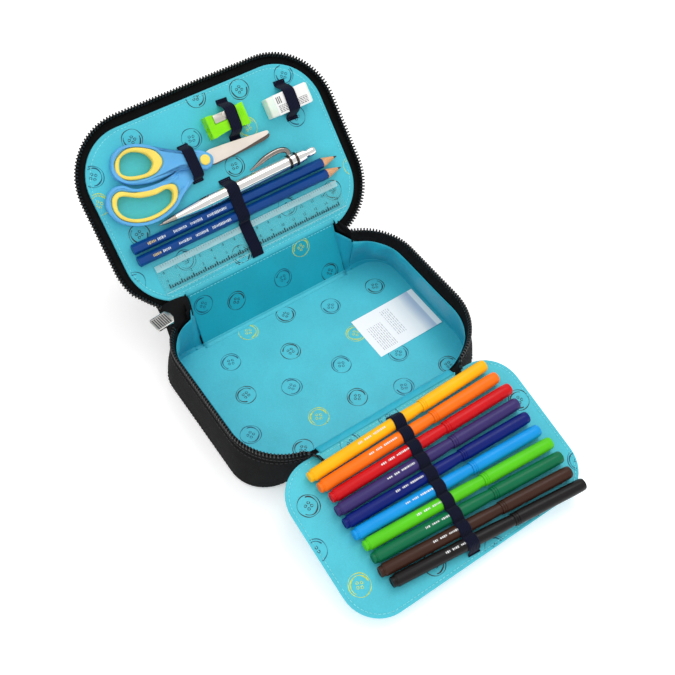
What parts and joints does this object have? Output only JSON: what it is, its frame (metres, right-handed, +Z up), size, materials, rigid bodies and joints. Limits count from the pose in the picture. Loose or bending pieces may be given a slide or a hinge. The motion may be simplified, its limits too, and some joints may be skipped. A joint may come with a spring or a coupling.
{
  "type": "pencil case",
  "caption": "Filled zip pencil case with a fold-back lid, an elastic-strapped swing-out flap of felt pens, and a lid board that holds scissors, pencils, pen, ruler, sharpener and eraser.",
  "frame": {"origin": "centre of the base's underside, on the table", "axes": "+Z up; +X along the long side, towards the caps of the felt pens; +Y from the flap at the front to the lid hinge at the back"},
  "size_m": [0.2114, 0.3776, 0.1474],
  "materials": {
    "black_fabric": "woven polyester",
    "turquoise_lining": "printed coated lining",
    "zip_tape": "woven tape",
    "zip_teeth": "moulded",
    "navy_elastic": "ribbed elastic",
    "white_card": "printed card",
    "scissor_blue": "satin",
    "scissor_yellow": "soft grip",
    "steel": "brushed",
    "chrome": "polished",
    "lime_plastic": "moulded",
    "eraser_white": "matte",
    "sleeve_white": "card sleeve",
    "pencil_blue": "lacquer",
    "cedar": "sanded",
    "graphite": "graphite",
    "clear_plastic": "clear",
    "black_plastic": "moulded",
    "tag_metal": "ridged",
    "marker_yellow": "satin",
    "marker_orange": "satin",
    "marker_red": "satin",
    "marker_violet": "satin",
    "marker_dark_blue": "satin",
    "marker_light_blue": "satin",
    "marker_light_green": "satin",
    "marker_dark_green": "satin",
    "marker_brown": "satin",
    "marker_black": "satin"
  },
  "bodies": {
    "base": {"base_shell": "black_fabric", "base_lining": "turquoise_lining", "floor_board": "turquoise_lining", "base_zip_tape": "zip_tape", "base_zip_teeth": "zip_teeth", "zip_corners": "zip_tape", "care_card": "white_card"},
    "front_zip": {"front_zip": "zip_tape"},
    "back_panel": {"back_board": "turquoise_lining", "back_padding": "black_fabric"},
    "lid": {"lid_shell": "black_fabric", "lid_board": "turquoise_lining", "lid_zip_tape": "zip_tape", "lid_zip_teeth": "zip_teeth", "loop_sharpener": "navy_elastic", "loop_eraser": "navy_elastic", "loop_scissors": "navy_elastic", "loop_pens": "navy_elastic", "sharpener_body": "lime_plastic", "sharpener_blade": "steel", "eraser_block": "eraser_white", "eraser_sleeve": "sleeve_white", "scissors_handle_lower": "scissor_blue", "scissors_insert_lower": "scissor_yellow", "scissors_blade_rear": "steel", "scissors_pivot": "scissor_yellow", "ruler": "clear_plastic", "pencil_rods": "pencil_blue", "pencil_cones": "cedar", "pencil_leads": "graphite", "pen_barrel": "chrome", "pen_clip": "chrome"},
    "scissors_half": {"scissors_handle_upper": "scissor_blue", "scissors_insert_upper": "scissor_yellow", "scissors_blade_front": "steel"},
    "pen_button": {"pen_button": "chrome"},
    "flap": {"flap_board": "turquoise_lining", "flap_elastic": "navy_elastic", "marker_barrel_01": "marker_yellow", "marker_barrel_02": "marker_orange", "marker_barrel_03": "marker_red", "marker_barrel_04": "marker_violet", "marker_barrel_05": "marker_dark_blue", "marker_barrel_06": "marker_light_blue", "marker_barrel_07": "marker_light_green", "marker_barrel_08": "marker_dark_green", "marker_barrel_09": "marker_brown", "marker_barrel_10": "marker_black"},
    "slider": {"zip_slider": "black_plastic"},
    "tab": {"pull_tab": "tag_metal"},
    "cap_01": {"marker_cap_01": "marker_yellow"},
    "cap_02": {"marker_cap_02": "marker_orange"},
    "cap_03": {"marker_cap_03": "marker_red"},
    "cap_04": {"marker_cap_04": "marker_violet"},
    "cap_05": {"marker_cap_05": "marker_dark_blue"},
    "cap_06": {"marker_cap_06": "marker_light_blue"},
    "cap_07": {"marker_cap_07": "marker_light_green"},
    "cap_08": {"marker_cap_08": "marker_dark_green"},
    "cap_09": {"marker_cap_09": "marker_brown"},
    "cap_10": {"marker_cap_10": "marker_black"}
  },
  "joints": [
    {"name": "lid_hinge", "type": "hinge", "parent": "base", "child": "lid", "pos_m": [0, 0.07375, 0.04387], "axis": [1, 0, 0], "range_deg": [0, 134.3]},
    {"name": "back_fold", "type": "hinge", "parent": "lid", "child": "back_panel", "pos_m": [0, 0.08763, 0.04717], "axis": [-1, 0, 0], "range_deg": [0, 102.75]},
    {"name": "flap_hinge", "type": "hinge", "parent": "base", "child": "flap", "pos_m": [0, -0.0689, 0.0373], "axis": [-1, 0, 0], "range_deg": [0, 194.5], "deforming": ["zip_corners"]},
    {"name": "front_zip_fold", "type": "hinge", "parent": "base", "child": "front_zip", "pos_m": [0, -0.075, 0.0376], "axis": [-1, 0, 0], "range_deg": [0, 120.05]},
    {"name": "scissors_pivot_turn", "type": "hinge", "parent": "lid", "child": "scissors_half", "pos_m": [-0.0115, 0.14266, 0.10986], "axis": [0, -0.7157, 0.6984], "range_deg": [-4, 0]},
    {"name": "pen_click", "type": "slide", "parent": "lid", "child": "pen_button", "axis": [0.9994, 0.0247, 0.0253], "range_m": [-0.0025, 0], "stiffness_N_per_m": 200},
    {"name": "slider_run", "type": "slide", "parent": "base", "child": "slider", "axis": [-0.9063, -0.4226, 0], "range_m": [0, 0.004]},
    {"name": "tab_swing", "type": "hinge", "parent": "slider", "child": "tab", "pos_m": [-0.0826, 0.074, 0.0435], "axis": [0.1392, -0.9903, 0], "range_deg": [-60, 0]},
    {"name": "cap_01_pull", "type": "slide", "parent": "flap", "child": "cap_01", "axis": [-0.9995, -0.0293, -0.0076], "range_m": [-0.018, 0]},
    {"name": "cap_02_pull", "type": "slide", "parent": "flap", "child": "cap_02", "axis": [-0.9999, -0.0146, -0.0038], "range_m": [-0.018, 0]},
    {"name": "cap_03_pull", "type": "slide", "parent": "flap", "child": "cap_03", "axis": [-1, 0, 0], "range_m": [-0.018, 0]},
    {"name": "cap_04_pull", "type": "slide", "parent": "flap", "child": "cap_04", "axis": [-0.9999, 0.0146, 0.0038], "range_m": [-0.018, 0]},
    {"name": "cap_05_pull", "type": "slide", "parent": "flap", "child": "cap_05", "axis": [-0.9995, 0.0293, 0.0076], "range_m": [-0.018, 0]},
    {"name": "cap_06_pull", "type": "slide", "parent": "flap", "child": "cap_06", "axis": [-0.999, 0.0439, 0.0114], "range_m": [-0.018, 0]},
    {"name": "cap_07_pull", "type": "slide", "parent": "flap", "child": "cap_07", "axis": [-0.9982, 0.0586, 0.0152], "range_m": [-0.018, 0]},
    {"name": "cap_08_pull", "type": "slide", "parent": "flap", "child": "cap_08", "axis": [-0.9971, 0.0732, 0.0189], "range_m": [-0.018, 0]},
    {"name": "cap_09_pull", "type": "slide", "parent": "flap", "child": "cap_09", "axis": [-0.9959, 0.0879, 0.0227], "range_m": [-0.018, 0]},
    {"name": "cap_10_pull", "type": "slide", "parent": "flap", "child": "cap_10", "axis": [-0.9944, 0.1025, 0.0265], "range_m": [-0.018, 0]}
  ],
  "couplings": [
    {"joint": "back_fold", "follows": "lid_hinge", "ratio": 0.76493},
    {"joint": "front_zip_fold", "follows": "flap_hinge", "ratio": 0.61697}
  ]
}
